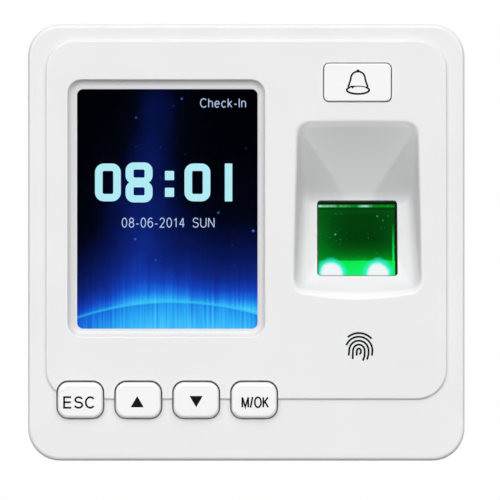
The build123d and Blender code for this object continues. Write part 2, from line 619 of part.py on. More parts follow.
def chip(x, y, width, height, thickness, z):
    body = Pos(x, y, z + thickness / 2) * Box(width, height, thickness)
    top = z + thickness
    body = chamfer(edges_at(body, top), 0.15)
    return body - post(x - width / 2 + 1.2, y + height / 2 - 1.2, 0.45, top - 0.1, top + 1)


def leads(x, y, width, count, z):
    """Flat leads, 1 mm apart, along the two sides of a chip."""
    made = []
    for sx in (-1, 1):
        for i in range(count):
            lead_y = y + i - (count - 1) / 2
            inner, outer = x + sx * width / 2, x + sx * (width / 2 + 0.9)
            made.append(block(inner, outer, lead_y - 0.15, lead_y + 0.15, z, z + 0.25))
    return made


def processor():
    x, y, width, height, thickness = PROCESSOR
    return chip(x, y, width, height, thickness, MAIN_BOARD_FRONT_Z)


def memory_chips():
    return together(*(chip(x, y, w, h, t, MAIN_BOARD_FRONT_Z) for x, y, w, h, t in MEMORIES))


def chip_leads():
    """The tinned leads of the processor and memory chips."""
    made = []
    for x, y, width, height, _ in (PROCESSOR, *MEMORIES):
        made += leads(x, y, width, int(height) - 1, MAIN_BOARD_FRONT_Z)
    return together(*made)


def capacitors():
    """Surface-mounted electrolytic cans on their square bases."""
    made = []
    for x, y in CAPACITOR_PLACES:
        z = MAIN_BOARD_FRONT_Z
        made.append(slab(rounded(6.4, 6.4, 0.8, x, y), z, z + 0.8))
        can = post(x, y, 3.0, z + 0.8, z + 5.6)
        made.append(fillet(edges_at(can, z + 5.6), 0.4))
    return together(*made)


def inductor():
    z = MAIN_BOARD_FRONT_Z
    base = slab(rounded(7.0, 7.0, 1.2, -20.0, -20.0), z, z + 3.2)
    return base - (post(-20, -20, 2.6, z + 2.9, z + 4) - post(-20, -20, 1.4, z + 2, z + 5))


def crystal():
    z = MAIN_BOARD_FRONT_Z
    can = slab(SlotOverall(10.0, 4.0), z, z + 3.4)
    return Pos(-1.0, -12.0) * fillet(edges_at(can, z + 3.4), 0.5)


def battery_holder():
    """The clip that holds the clock's coin cell to the main board."""
    z = MAIN_BOARD_FRONT_Z
    ring = post(CELL_X, CELL_Y, CELL_R + 1.15, z, z + 3.0)
    ring -= post(CELL_X, CELL_Y, CELL_R + 0.1, z + 0.6, z + 4)
    return ring - block(CELL_X - 4, CELL_X + 4, CELL_Y - 10, CELL_Y - 2, z + 0.6, z + 4)


def backup_battery():
    z = MAIN_BOARD_FRONT_Z + 0.65
    cell = post(CELL_X, CELL_Y, CELL_R, z, z + 2.0)
    return fillet(edges_at(cell, z + 2.0), 0.3)


def relay():
    """The door-lock relay, on the wall side of the main board."""
    z = MAIN_BOARD_BACK_Z
    case = block(-43.2, -36.0, -7.0, 13.0, z - 9.6, z)
    return fillet(edges_at(case, z - 9.6), 0.5)


def ethernet_jack():
    """The network socket. Its mouth faces down into the cable bay."""
    half = JACK_W / 2
    body = block(JACK_X - half, JACK_X + half, JACK_LOW, JACK_TOP, JACK_DEEP_Z, MAIN_BOARD_BACK_Z)
    mouth = block(JACK_X - 5.9, JACK_X + 5.9, JACK_LOW - 1, JACK_LOW + 14.0, 5.4, 12.4)
    key_way = block(JACK_X - 3.2, JACK_X + 3.2, JACK_LOW - 1, JACK_LOW + 14.0, 4.0, 5.5)
    return body - mouth - key_way


def jack_contacts():
    """Eight sprung contacts inside the network socket."""
    made = []
    for i in range(8):
        x = JACK_X + (i - 3.5) * 1.02
        made.append(block(x - 0.2, x + 0.2, JACK_LOW + 3.0, JACK_LOW + 13.9, 11.6, 12.0))
    return together(*made)


def wire_headers():
    """The headers for the door, reader and power wiring, open towards the wall."""
    made = []
    for x, y, ways in HEADERS:
        half = ways * 1.25 - 0.6
        z = MAIN_BOARD_BACK_Z
        body = block(x - 3.0, x + 3.0, y - half, y + half, z - 7.0, z)
        body -= block(x - 2.2, x + 2.2, y - half + 0.8, y + half - 0.8, z - 8.0, z - 1.2)
        body -= block(x - 4.0, x - 1.0, y - half + 2.4, y + half - 2.4, z - 8.0, z - 3.6)
        made.append(body)
    return together(*made)


def header_pins():
    made = []
    for x, y, ways in HEADERS:
        for i in range(ways):
            pin_y = y + (i - (ways - 1) / 2) * 2.0
            z = MAIN_BOARD_BACK_Z
            made.append(block(x + 0.2, x + 0.7, pin_y - 0.25, pin_y + 0.25, z - 6.0, z - 1.2))
    return together(*made)


def usb_port():
    """The service port at the bottom edge of the main board."""
    z = MAIN_BOARD_FRONT_Z
    shell = slab(rounded(7.6, 5.6, 0.2, USB_X, -42.4), z, z + 2.8)
    mouth = block(USB_X - 3.4, USB_X + 3.4, -46.0, -40.4, z + 0.4, z + 2.4)
    tongue = block(USB_X - 2.6, USB_X + 2.6, -45.0, -40.3, z + 1.2, z + 1.7)
    return shell - mouth + tongue


def speaker_frame():
    z0, z1 = SPEAKER_Z - SPEAKER_H / 2, SPEAKER_Z + SPEAKER_H / 2
    x0, x1 = SPEAKER_X - SPEAKER_W / 2, SPEAKER_X + SPEAKER_W / 2
    y0 = -BODY / 2 + WALL + 0.3
    frame = block(x0, x1, y0, y0 + SPEAKER_T, z0, z1)
    return frame - block(x0 + 1.2, x1 - 1.2, y0 - 1, y0 + 1.4, z0 + 1.2, z1 - 1.2)


def speaker_cone():
    y0 = -BODY / 2 + WALL + 0.3
    plate = RectangleRounded(SPEAKER_W - 2.8, SPEAKER_H - 2.8, 3.6)
    plate = extrude(Rot(90, 0, 0) * plate, 0.3, both=True)
    dome = RectangleRounded(9.0, 4.6, 2.2)
    dome = extrude(Rot(90, 0, 0) * dome, 0.65, both=True)
    return Pos(SPEAKER_X, y0 + 0.7, SPEAKER_Z) * (plate + dome)


def tamper_switch():
    z = MAIN_BOARD_BACK_Z
    case = block(TAMPER_X - 3, TAMPER_X + 3, TAMPER_Y - 3, TAMPER_Y + 3, z - 3.6, z)
    return case - post(TAMPER_X, TAMPER_Y, 1.75, z - 5, z - 1.0)


def tamper_plunger():
    """The long plunger that the wall plate holds pressed; it shows if the terminal is lifted."""
    stem = post(TAMPER_X, TAMPER_Y, 1.6, PLATE_T + 0.05, MAIN_BOARD_BACK_Z - 1.9)
    return fillet(edges_at(stem, PLATE_T + 0.05), 0.5)


# ---------------------------------------------------------------- fingerprint sensor
def sensor_prism():
    """The glass block whose front face the fingertip presses."""
    half = PRISM_SIDE / 2
    section = Polyline(
        (-half, 0.1), (half, 0.1), (half, -3.6), (2.2, PRISM_DEEP), (-half, PRISM_DEEP), close=True
    )
    upright = Plane(origin=(-half, 0, 0), x_dir=(0, 1, 0), z_dir=(1, 0, 0))
    block_of_glass = extrude(upright * make_face(section), PRISM_SIDE)
    return SENSOR_PLACE * chamfer(edges_at(block_of_glass, 0.1), 0.3)


def sensor_gasket():
    """The black rubber seal round the prism, with a flange behind the recess's floor."""
    outer, inner = SENSOR_WINDOW - 0.04, PRISM_SIDE + 0.04
    ring = slab(rounded(outer, outer, 0.78), -2.6, -0.35)
    ring += slab(rounded(20.4, 20.4, 1.2), -3.0, -RECESS_WALL)
    return SENSOR_PLACE * (ring - slab(Rectangle(inner, inner), -4, 1))


def sensor_housing():
    """The black carrier that holds prism, lens and camera chip in line."""
    body = slab(rounded(21.6, 21.8, 1.2), -16.4, -RECESS_WALL)
    for x, y in SENSOR_SCREWS:
        body += post(x, y, 2.2, EAR_BACK, EAR_FRONT)
        body += block(x - 2.2, x + 2.2, y * 0.75, y, EAR_BACK, EAR_FRONT)
    for x, y in CAMERA_SCREWS:
        body += post(x, y, 1.9, CAMERA_BOARD_FRONT, -15.0)
    body -= slab(rounded(20.6, 20.6, 1.3), -3.0, 1)
    body -= block(-8.7, 8.7, -8.7, 8.7, -9.7, 0)
    body -= block(-7.4, 7.4, -9.8, -8.5, -7.6, -3.4)
    body -= block(-9.4, 9.4, -10.4, -9.6, -8.6, -3.3)
    body -= post(0, OPTICS_Y, 4.1, -15.2, -9.0)
    body -= post(0, OPTICS_Y, 3.0, -18.0, -15.0)
    for x, y in SENSOR_SCREWS:
        body -= post(x, y, 1.0, -8.0, -4.0)
    for x, y in CAMERA_SCREWS:
        body -= post(x, y, 0.75, -18.0, -13.5)
    return SENSOR_PLACE * body


def light_board():
    """The strip of circuit board that carries the green lamps, at the foot of the prism."""
    return SENSOR_PLACE * block(-9.2, 9.2, -10.35, -9.75, -8.4, -3.4)


def green_lamps():
    lamps = (block(x - 1.4, x + 1.4, -9.75, -8.85, -6.9, -4.1) for x in LAMP_XS)
    return SENSOR_PLACE * together(*lamps)


def sensor_lens():
    """The small camera lens behind the prism."""
    barrel = post(0, OPTICS_Y, 4.0, -15.0, -10.6) - post(0, OPTICS_Y, 3.0, -11.4, -9)
    barrel -= post(0, OPTICS_Y, 2.95, -11.95, -11)
    element = post(0, OPTICS_Y, 2.95, -11.9, -11.35)
    return SENSOR_PLACE * together(barrel, element)


def camera_board():
    board = slab(rounded(21.6, 25.0, 1.0, 0, -1.4), CAMERA_BOARD_BACK, CAMERA_BOARD_FRONT)
    for x, y in CAMERA_SCREWS:
        board -= post(x, y, 1.05, -20, -16)
    return SENSOR_PLACE * board


def camera_chip():
    outline = Pos(0, OPTICS_Y) * Rectangle(8.0, 8.0)
    return SENSOR_PLACE * slab(outline, CAMERA_BOARD_FRONT, CAMERA_BOARD_FRONT + 0.8)


def sensor_screws():
    """Four screws that hold the sensor carrier behind the recess."""
    one = screw(1.6, 0.9, 0.7, 4.2, 0.85)
    return SENSOR_PLACE * together(*(Pos(x, y, EAR_BACK) * Rot(180, 0, 0) * one for x, y in SENSOR_SCREWS))


def camera_screws():
    one = screw(1.6, 0.9, 0.7, 3.6, 0.85)
    placed = (Pos(x, y, CAMERA_BOARD_BACK) * Rot(180, 0, 0) * one for x, y in CAMERA_SCREWS)
    return SENSOR_PLACE * together(*placed)


# ---------------------------------------------------------------- the whole terminal
def build():
    pieces = {
        "front_cover": front_cover(),
        "rear_cover": rear_cover(),
        "wall_plate": wall_plate(),
        "cover_screws": cover_screws(),
        "security_screw": security_screw(),
        "screen_lens": screen_lens(),
        "lens_gasket": lens_gasket(),
        "lcd_panel": lcd_panel(),
        "lcd_frame": lcd_frame(),
        "lcd_tray": lcd_tray(),
        "lcd_ribbon": lcd_ribbon(),
        "lcd_connector": lcd_connector(),
        "bell_key": bell_key(),
        "key_board": key_board(),
        "key_board_screws": board_screws(KEY_BOARD_SCREWS, KEY_BOARD_BACK_Z, 5.0),
        "main_board": main_board(),
        "main_board_screws": main_board_screws(),
        "board_connector": board_connector(),
        "processor": processor(),
        "memory_chips": memory_chips(),
        "chip_leads": chip_leads(),
        "capacitors": capacitors(),
        "inductor": inductor(),
        "crystal": crystal(),
        "battery_holder": battery_holder(),
        "backup_battery": backup_battery(),
        "relay": relay(),
        "ethernet_jack": ethernet_jack(),
        "jack_contacts": jack_contacts(),
        "wire_headers": wire_headers(),
        "header_pins": header_pins(),
        "usb_port": usb_port(),
        "speaker_frame": speaker_frame(),
        "speaker_cone": speaker_cone(),
        "tamper_switch": tamper_switch(),
        "tamper_plunger": tamper_plunger(),
        "sensor_prism": sensor_prism(),
        "sensor_gasket": sensor_gasket(),
        "sensor_housing": sensor_housing(),
        "light_board": light_board(),
        "green_lamps": green_lamps(),
        "sensor_lens": sensor_lens(),
        "camera_board": camera_board(),
        "camera_chip": camera_chip(),
        "sensor_screws": sensor_screws(),
        "camera_screws": camera_screws(),
    }
    for name, x in menu_key_places().items():
        pieces[f"{name}_key"] = menu_key(x)
    for name, (x, y) in key_centres().items():
        pieces[f"{name}_switch"] = switch_body(x, y)
        pieces[f"{name}_plunger"] = switch_plunger(x, y)
    return pieces


os.makedirs("parts", exist_ok=True)
for node, shape in build().items():
    export_step(stand(shape), f"parts/{node}.step")
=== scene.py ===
"""Looks for the fingerprint scanner terminal: materials, printed legends, the lit display, the lit
sensor, a plain floor, soft light and the camera. Places and sizes are in mm; MM turns them into metres."""

import json
import math

import bpy
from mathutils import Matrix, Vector


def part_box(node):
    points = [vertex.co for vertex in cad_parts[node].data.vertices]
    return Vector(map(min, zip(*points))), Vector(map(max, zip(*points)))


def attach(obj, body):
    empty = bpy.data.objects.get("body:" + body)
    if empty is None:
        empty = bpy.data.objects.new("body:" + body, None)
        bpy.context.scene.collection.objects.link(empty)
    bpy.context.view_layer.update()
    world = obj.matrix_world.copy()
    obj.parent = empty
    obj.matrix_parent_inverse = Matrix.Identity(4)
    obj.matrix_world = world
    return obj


MM = 0.001
INK = 0.02  # how far print stands up from its face

# Painted shade on the front cover's sunken walls: the area that holds them, how far below the face the
# painted shade begins, and over what further depth it becomes full.
SHADED_HALF_WIDTH, SHADED_HALF_HEIGHT, SHADED_MIDDLE_Z = 43.2, 38.6, 4.9
SHADE_START_DEPTH, SHADE_FADE_DEPTH = 0.62, 0.4

# The display's picture. The horizon is a wide arc, and x is measured from the window's middle. A glow has a
# strength at the horizon and a rate at which it fades upwards. Stars and specks are given as spacing,
# sharpness, rarity and colour.
HORIZON_RISE, HORIZON_RADIUS, HORIZON_SHIFT = 7.05, 64.8, 1.2
NEAR_GLOW, FAR_GLOW, RIGHT_GLOW = (0.54, 0.28), (0.26, 0.10), (0.34, 0.13)
SKY_COLOURS = (
    (0.0, (0, 0, 2)), (0.06, (1, 4, 18)), (0.16, (8, 22, 86)), (0.30, (14, 40, 134)),
    (0.46, (20, 66, 188)), (0.62, (26, 112, 226)), (0.80, (44, 172, 248)), (1.0, (84, 210, 255)),
)
STARS = ((4.6, 12.0, 0.3, (70, 120, 235)), (2.6, 9.0, 0.6, (44, 78, 180)))
BIG_STAR = (18.6, 2.5)

# The clock's middle and height, and the lines of the small characters
CLOCK_Z, CLOCK_HEIGHT, SMALL_LINE = 13.0, 8.2, 0.19

# The sensor's window: the heights between which it shows, its colours from the foot up, and its two lamps.
SENSOR_FOOT, SENSOR_TOP = -7.0, 8.8
GLASS_COLOURS = (
    (0.0, (20, 240, 110)), (0.185, (6, 236, 74)), (0.205, (2, 140, 32)), (0.27, (1, 104, 18)),
    (0.36, (0, 72, 9)), (0.48, (0, 50, 6)), (0.80, (0, 56, 6)), (0.92, (0, 74, 12)),
)
SPECKS = ((1.3, 4.2, 0.64, (54, 226, 118)), (0.7, 4.2, 0.70, (30, 170, 76)))
LAMPS_ACROSS, LAMPS_RISE, LAMPS_REACH = (0.165, 0.765), 0.2, 5.0

# The sign on the cover, and the bell's place and the triangles' half width on their keys
FINGER_SIGN, FINGER_SIGN_SCALE, FINGER_SIGN_LINE = (24.35, -23.4), 1.22, 0.42
BELL_X, BELL_Z, TRIANGLE_HALF_WIDTH = 0.1, -1.7, 1.42

# Light: the directions that it comes from and its strengths. Each lobe is full at its middle and gone where
# the cosine of the angle from it is its edge. Straight ahead, where the display would mirror it, the front
# lobe is cut away: it begins to fade at CLEAR_FROM and is gone at CLEAR_FULL.
FRONT_LIGHT, FRONT_STRENGTH, FRONT_EDGE = (-0.03, -0.87, 0.49), 3.26, 0.6
REAR_LIGHT, REAR_STRENGTH, REAR_EDGE = (0.1, 0.9, 0.45), 1.1, 0.2
CLEAR_FROM, CLEAR_FULL = 0.965, 0.99
SOFTBOX_PLACE, SOFTBOX_SIZE, SOFTBOX_POWER = (1000.0, -850.0, 100.0), (100.0, 800.0), 4.2

# The camera looks straight at the front, and sees FIELD mm across at FIELD_DEPTH from the wall.
CAMERA_DISTANCE, CAMERA_X, CAMERA_Z = 1600.0, 0.8, -1.65
FIELD, FIELD_DEPTH, FILM = 108.4, 31.0, 36.0
FLOOR_Z, FLOOR_SIZE = -130.0, 2000.0

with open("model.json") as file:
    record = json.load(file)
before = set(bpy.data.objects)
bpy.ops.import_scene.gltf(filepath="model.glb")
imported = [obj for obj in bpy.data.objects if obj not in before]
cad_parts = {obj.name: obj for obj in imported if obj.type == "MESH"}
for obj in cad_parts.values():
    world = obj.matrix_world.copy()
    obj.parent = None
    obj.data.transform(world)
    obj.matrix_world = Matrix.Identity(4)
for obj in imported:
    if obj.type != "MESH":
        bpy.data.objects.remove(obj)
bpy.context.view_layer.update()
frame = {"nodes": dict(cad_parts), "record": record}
FRONT_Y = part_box("front_cover")[0].y


# ---------------------------------------------------------------- colour and shader helpers
def linear(r, g, b):
    """A colour given as 0 to 255 display values, as the shader's linear RGBA."""
    channels = []
    for value in (r, g, b):
        share = value / 255
        channels.append(share / 12.92 if share <= 0.04045 else ((share + 0.055) / 1.055) ** 2.4)
    return (*channels, 1.0)


class Shader:
    """A node material with a Principled shader and short calls for wiring nodes to it."""

    def __init__(self, name):
        self.material = bpy.data.materials.new(name)
        self.material.use_nodes = True
        self.tree = self.material.node_tree
        self.surface = next(n for n in self.tree.nodes if n.type == "BSDF_PRINCIPLED")
        self._place = None

    def set(self, **values):
        for name, value in values.items():
            self.surface.inputs[name.replace("_", " ")].default_value = value

    def node(self, kind, inputs=(), **settings):
        made = self.tree.nodes.new(kind)
        for name, value in settings.items():
            setattr(made, name, value)
        for name, value in dict(inputs).items():
            self.feed(made.inputs[name], value)
        return made

    def feed(self, socket, value):
        if isinstance(value, bpy.types.NodeSocket):
            self.tree.links.new(value, socket)
        else:
            socket.default_value = value

    def math(self, operation, a, b=0.0, c=0.0, clamp=False):
        made = self.tree.nodes.new("ShaderNodeMath")
        made.operation = operation
        made.use_clamp = clamp
        for socket, value in zip(made.inputs, (a, b, c)):
            self.feed(socket, value)
        return made.outputs[0]

    def add(self, a, b, clamp=False):
        return self.math("ADD", a, b, clamp=clamp)

    def subtract(self, a, b, clamp=False):
        return self.math("SUBTRACT", a, b, clamp=clamp)

    def multiply(self, a, b, clamp=False):
        return self.math("MULTIPLY", a, b, clamp=clamp)

    def scale(self, value, factor, offset, clamp=False):
        return self.math("MULTIPLY_ADD", value, factor, offset, clamp=clamp)

    def bell_curve(self, value, centre, width):
        """1 where the value is the centre, fading smoothly over the width on both sides."""
        share = self.math("DIVIDE", self.subtract(value, centre), width)
        return self.math("EXPONENT", self.multiply(self.multiply(share, share), -1.0))

    def fade(self, value, rate):
        """1 where the value is 0, and less and less above it."""
        return self.math("EXPONENT", self.multiply(value, -rate))

    def line_at(self, value, centre, half_width):
        """1 where the value is the centre, down to 0 at half_width from it."""
        away = self.math("ABSOLUTE", self.subtract(value, centre))
        return self.subtract(1.0, self.math("DIVIDE", away, half_width), clamp=True)

    def distance(self, x, z, at_x, at_z):
        from_x, from_z = self.subtract(x, at_x), self.subtract(z, at_z)
        squares = self.add(self.multiply(from_x, from_x), self.multiply(from_z, from_z))
        return self.math("SQRT", squares)

    def place(self):
        """The point in the object's own coordinates, which are the shared frame's at rest, in metres."""
        if self._place is None:
            self._place = self.node("ShaderNodeTexCoord").outputs["Object"]
        return self._place

    def xyz(self):
        """The point's three coordinates in mm."""
        split = self.node("ShaderNodeSeparateXYZ", {"Vector": self.place()})
        return [self.multiply(out, 1 / MM) for out in split.outputs]

    def noise(self, size_mm, detail=3.0, roughness=0.5, stretch=None):
        vector = self.place()
        if stretch:
            vector = self.node("ShaderNodeMapping", {"Vector": vector, "Scale": stretch}).outputs[0]
        inputs = {"Vector": vector, "Scale": 1 / (size_mm * MM), "Detail": detail, "Roughness": roughness}
        return self.node("ShaderNodeTexNoise", inputs).outputs[0]

    def cells(self, size_mm, randomness=1.0):
        """Scattered points: the distance to the nearest, in cells, and that point's own random colour."""
        inputs = {"Vector": self.place(), "Scale": 1 / (size_mm * MM), "Randomness": randomness}
        made = self.node("ShaderNodeTexVoronoi", inputs)
        return made.outputs["Distance"], made.outputs["Color"]

    def dots(self, apart_mm, sharpness, rarity, gain):
        """Scattered round dots, each of its own strength; rarity is the share of them left out."""
        away, colour = self.cells(apart_mm)
        chance = self.node("ShaderNodeSeparateColor", {"Color": colour}).outputs[0]
        near = self.subtract(1.0, self.multiply(away, sharpness), clamp=True)
        return self.multiply(near, self.multiply(self.subtract(chance, rarity), gain), clamp=True)

    def ramp(self, value, stops):
        made = self.node("ShaderNodeValToRGB", {"Fac": value})
        elements = made.color_ramp.elements
        while len(elements) < len(stops):
            elements.new(0.5)
        for element, (position, colour) in zip(elements, stops):
            element.position = position
            element.color = colour if isinstance(colour, tuple) else (colour, colour, colour, 1.0)
        return made.outputs["Color"]

    def colours(self, value, stops):
        """A ramp whose colours are given as 0 to 255 display values."""
        return self.ramp(value, [(position, linear(*colour)) for position, colour in stops])

    def mix(self, share, a, b):
        made = self.tree.nodes.new("ShaderNodeMix")
        made.data_type = "RGBA"
        self.feed(made.inputs["Factor"], share)
        for socket, value in zip([s for s in made.inputs if s.type == "RGBA"], (a, b)):
            self.feed(socket, value)
        return next(s for s in made.outputs if s.type == "RGBA")

    def bump(self, height, depth_mm, strength=1.0):
        inputs = {"Height": height, "Distance": depth_mm * MM, "Strength": strength}
        normal = self.node("ShaderNodeBump", inputs).outputs[0]
        self.tree.links.new(normal, self.surface.inputs["Normal"])

    def use(self, name, value):
        self.feed(self.surface.inputs[name], value)


def shade(colour, factor):
    return (*(min(1.0, c * factor) for c in colour[:3]), 1.0)


# ---------------------------------------------------------------- plastics, metals and boards
def painted_shade_mask(made):
    """Painted shade: 0 on the cover's outer faces, 1 on the walls of the finger recess and of the display's
    frame.
    """
    x, y, z = made.xyz()
    across = made.math("LESS_THAN", made.math("ABSOLUTE", x), SHADED_HALF_WIDTH)
    up = made.math("LESS_THAN", made.math("ABSOLUTE", made.subtract(z, SHADED_MIDDLE_Z)), SHADED_HALF_HEIGHT)
    depth = made.subtract(y, FRONT_Y / MM)
    sunk = made.math("DIVIDE", made.subtract(depth, SHADE_START_DEPTH), SHADE_FADE_DEPTH, clamp=True)
    return made.multiply(sunk, made.multiply(across, up))


def plastic(name, colour, roughness, grain_mm, grain_depth_mm, mottling, recess_shade=None):
    """Moulded plastic: a spark-eroded grain, a faint unevenness of gloss and of colour.

    With a colour for painted shade, the walls of the finger recess and of the display's frame take that
    colour, painted darker than the face."""
    made = Shader(name)
    patches = made.noise(14.0, detail=2.0)
    fine = made.noise(grain_mm, detail=2.0, roughness=0.6)
    dark, light = shade(colour, 1 - mottling), shade(colour, 1 + mottling * 0.5)
    body = made.ramp(patches, ((0.3, dark), (0.7, light)))
    # painted shade: the recess and display frame walls take the darker colour
    if recess_shade:
        body = made.mix(painted_shade_mask(made), body, recess_shade)
    made.use("Base Color", body)
    uneven = made.scale(fine, 0.5, made.multiply(patches, 0.5))
    made.use("Roughness", made.ramp(uneven, ((0.3, roughness * 0.88), (0.75, min(1.0, roughness * 1.12)))))
    made.bump(fine, grain_depth_mm)
    made.set(IOR=1.49)
    return made.material


def printed_ink(name):
    """Matt black pad print, a little uneven in depth."""
    made = Shader(name)
    film = made.noise(0.25, detail=3.0)
    made.use("Base Color", made.colours(film, ((0.3, (5, 5, 6)), (0.75, (16, 16, 17)))))
    made.use("Roughness", made.ramp(film, ((0.3, 0.62), (0.75, 0.78))))
    made.bump(film, 0.002)
    made.set(Specular_IOR_Level=0.08)
    return made.material


def metal(name, colour, roughness, brushed=(1.0, 1.0, 1.0), spangle=0.0):
    """Bare or plated metal with fine lines, drawn out where the brushed scale is small, or a spangle."""
    made = Shader(name)
    lines = made.noise(0.35, detail=4.0, stretch=brushed)
    patches = made.noise(3.0, detail=3.0)
    dark, light = shade(colour, 0.9 - spangle), shade(colour, 1.05)
    made.use("Base Color", made.ramp(patches, ((0.35, dark), (0.65, light))))
    made.use("Roughness", made.ramp(lines, ((0.3, roughness * 0.75), (0.7, roughness * 1.3))))
    made.bump(lines, 0.004, 0.6)
    made.set(Metallic=1.0)
    return made.material


def circuit_board(name):
    """Green solder mask over copper tracks, with small bare pads."""
    made = Shader(name)
    x, _, z = made.xyz()
    across = made.math("PINGPONG", made.add(x, made.multiply(made.noise(9.0), 3.0)), 0.8)
    along = made.math("PINGPONG", made.add(z, made.multiply(made.noise(11.0), 4.0)), 1.1)
    lines = made.math("MAXIMUM", made.math("LESS_THAN", across, 0.14), made.math("LESS_THAN", along, 0.16))
    tracks = made.multiply(lines, made.math("GREATER_THAN", made.noise(13.0, detail=1.0), 0.48))
    pads = made.math("LESS_THAN", made.cells(2.1, randomness=0.55)[0], 0.13)
    green = made.mix(tracks, linear(10, 74, 38), linear(26, 112, 58))
    made.use("Base Color", made.mix(pads, green, linear(196, 190, 176)))
    made.use("Metallic", made.multiply(pads, 0.9))
    made.use("Roughness", made.ramp(made.noise(1.2), ((0.3, 0.28), (0.7, 0.42))))
    made.bump(tracks, 0.02, 0.8)
    made.set(Coat_Weight=0.25, Coat_Roughness=0.2)
    return made.material


def rubber(name):
    made = Shader(name)
    fine = made.noise(0.18, detail=3.0)
    made.use("Base Color", made.colours(fine, ((0.3, (6, 6, 7)), (0.7, (15, 15, 16)))))
    made.use("Roughness", made.ramp(fine, ((0.3, 0.6), (0.7, 0.8))))
    made.bump(fine, 0.01)
    return made.material


def ribbon_film(name):
    """Amber flexible film with copper tracks running along it."""
    made = Shader(name)
    x = made.xyz()[0]
    tracks = made.math("LESS_THAN", made.math("PINGPONG", x, 0.25), 0.11)
    body = made.colours(made.noise(2.0), ((0.3, (150, 88, 20)), (0.7, (178, 110, 32))))
    made.use("Base Color", made.mix(tracks, body, linear(205, 146, 78)))
    made.use("Metallic", made.multiply(tracks, 0.6))
    made.use("Roughness", made.ramp(made.noise(0.8), ((0.3, 0.3), (0.7, 0.42))))
    return made.material


def clear_lens(name):
    """The display's clear window, with the faintest haze of fine scratches."""
    made = Shader(name)
    scratches = made.noise(0.6, detail=4.0, stretch=(1.0, 1.0, 0.15))
    made.use("Roughness", made.ramp(scratches, ((0.45, 0.0), (0.9, 0.04))))
    made.set(Base_Color=(1, 1, 1, 1), IOR=1.2, Transmission_Weight=1.0, Specular_IOR_Level=0.12)
    return made.material


def camera_glass(name):
    made = Shader(name)
    made.use("Base Color", made.colours(made.noise(1.5), ((0.3, (30, 32, 60)), (0.7, (52, 40, 84)))))
    made.set(Roughness=0.05, Coat_Weight=1.0, Coat_Roughness=0.02)
    return made.material


# ---------------------------------------------------------------- lit surfaces
def display_picture(name, low, high):
    """A night sky over a bright horizon, for the display behind the window from low to high."""
    made = Shader(name)
    x, _, z = made.xyz()
    x = made.subtract(x, (low.x + high.x) / 2 / MM)
    arc_z = low.z / MM + HORIZON_RISE - HORIZON_RADIUS
    height = made.subtract(made.distance(x, z, HORIZON_SHIFT, arc_z), HORIZON_RADIUS)
    streaks = made.subtract(made.noise(0.5, detail=3.0, stretch=(1.0, 1.0, 0.03)), 0.5)

    # above the horizon: a glow that fades upwards, a leaning column of haze, and a glow at the right
    rise = made.math("MAXIMUM", height, 0.0)

    def glow_of(strength, rate):
        return made.multiply(made.fade(rise, rate), strength)

    beside = made.add(made.bell_curve(x, -0.4, 30.0), made.multiply(made.bell_curve(x, 21.1, 9.0), 0.25))
    beside = made.math("MINIMUM", beside, 1.0)
    glow = made.add(glow_of(*NEAR_GLOW), glow_of(*FAR_GLOW))
    glow = made.multiply(made.multiply(glow, beside), made.scale(streaks, 0.55, 1.0))
    column = made.multiply(made.bell_curve(x, made.scale(z, 0.1, -5.4), 6.0), 0.082)
    wide = made.multiply(made.bell_curve(x, -3.9, 13.0), made.bell_curve(z, -6.0, 20.0))
    haze = made.add(column, made.multiply(wide, 0.08))
    haze = made.multiply(haze, made.scale(made.noise(9.0, detail=3.0), 1.4, 0.4))
    right_glow = made.multiply(glow_of(*RIGHT_GLOW), made.bell_curve(x, 22.1, 8.5))
    above = made.add(made.add(glow, haze), right_glow)

    # below it: nearly even, darker towards the lower corners
    depth = made.math("MINIMUM", made.math("MAXIMUM", made.multiply(height, -1.0), 0.0), 5.0)
    corners = made.add(made.bell_curve(x, -0.9, 34.0), made.multiply(made.bell_curve(x, 17.1, 9.0), 0.25))
    below = made.multiply(made.scale(depth, 0.035, 0.66), made.math("MINIMUM", corners, 1.0))
    below = made.multiply(below, made.scale(streaks, 0.55, 1.06))

    share = made.scale(height, -2.0, 0.5, clamp=True)
    above, below = made.multiply(above, made.subtract(1.0, share)), made.multiply(below, share)
    sky = made.colours(made.add(above, below, clamp=True), SKY_COLOURS)
    line = made.multiply(made.line_at(height, -0.05, 0.385), made.multiply(beside, 0.75))
    sky = made.mix(line, sky, linear(52, 206, 238))

    high_up = made.math("GREATER_THAN", height, 4.0)
    for apart, sharpness, rarity, colour in STARS:
        star = made.multiply(made.dots(apart, sharpness, rarity, 1.6), high_up)
        sky = made.mix(star, sky, linear(*colour))
    from_star = made.multiply(made.distance(x, z, *BIG_STAR), 2.6)
    sky = made.mix(made.subtract(0.9, from_star, clamp=True), sky, linear(96, 150, 250))

    made.set(Base_Color=(0.0005, 0.0005, 0.001, 1), Roughness=0.1)
    made.set(Specular_IOR_Level=0.02, Emission_Strength=1.0)
    made.use("Emission Color", sky)
    return made.material


def lit_ink(name, colour):
    """The bright colour of characters on the display, made of fine picture elements."""
    made = Shader(name)
    x, _, z = made.xyz()
    element = 0.08
    grid = made.multiply(made.math("PINGPONG", x, element), made.math("PINGPONG", z, element))
    grid = made.multiply(grid, 1 / element ** 2)
    made.set(Base_Color=(0, 0, 0, 1), Roughness=0.6, Specular_IOR_Level=0.0, Emission_Strength=1.0)
    made.use("Emission Color", made.ramp(grid, ((0.0, shade(colour, 0.94)), (1.0, colour))))
    return made.material


